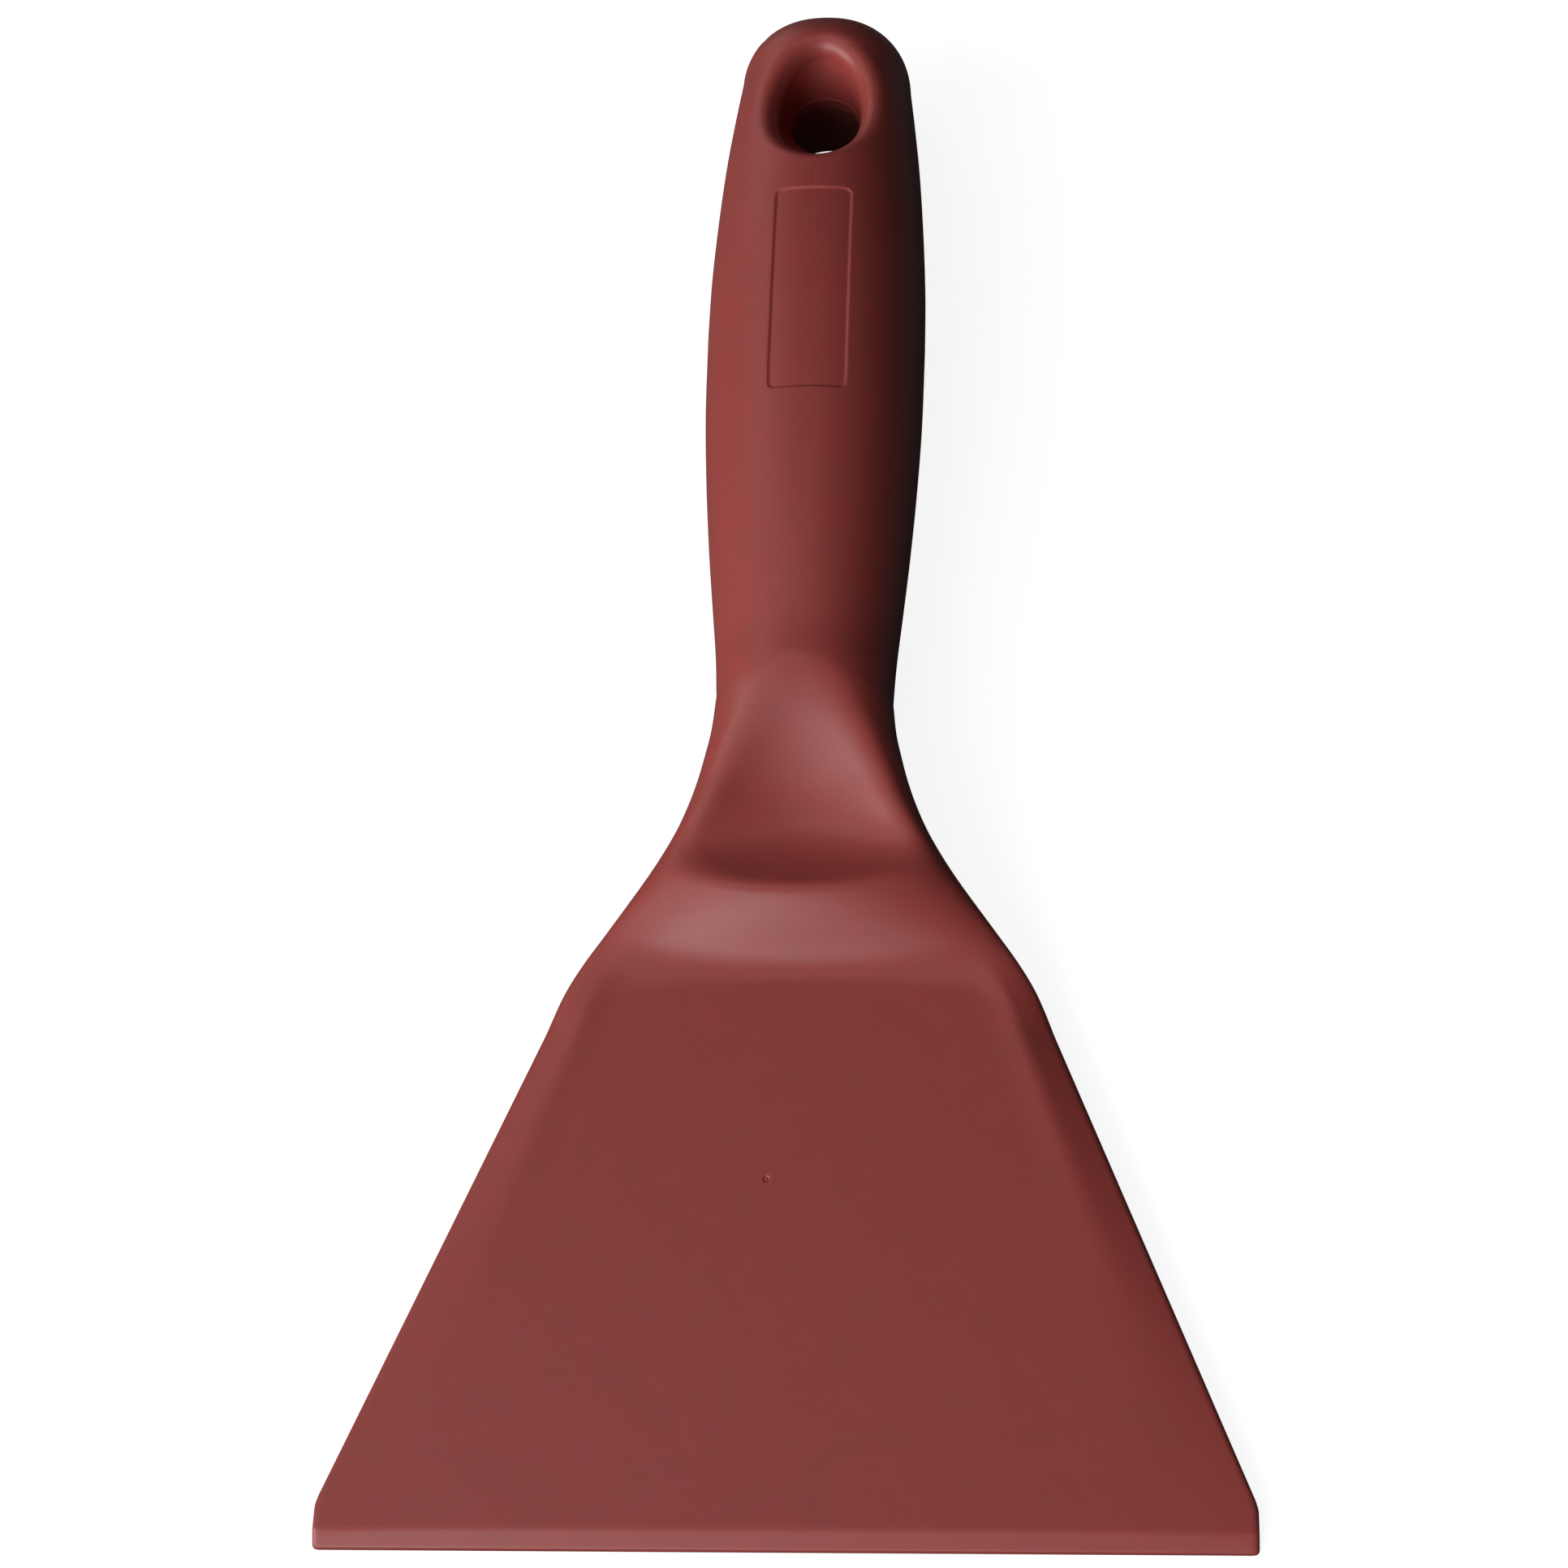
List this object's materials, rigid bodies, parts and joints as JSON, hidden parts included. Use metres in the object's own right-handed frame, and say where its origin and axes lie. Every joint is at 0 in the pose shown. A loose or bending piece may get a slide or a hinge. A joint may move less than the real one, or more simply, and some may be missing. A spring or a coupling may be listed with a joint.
{
  "type": "hand scraper",
  "caption": "Hand scraper moulded in one piece: wide tapering blade with a bevelled edge, a thumb recess in the neck, a rounded grip and a funnelled hanging hole.",
  "frame": {"origin": "middle of the tool's box in plan, on the plane of the blade's flat back", "axes": "+X across the blade, +Y from the cutting edge to the end of the handle, +Z out of the front, the side with the thumb recess"},
  "size_m": [0.1024, 0.205, 0.0259],
  "materials": {
    "polypropylene": "satin, very fine grain"
  },
  "bodies": {
    "root": {"moulded_scraper": "polypropylene"}
  },
  "joints": []
}
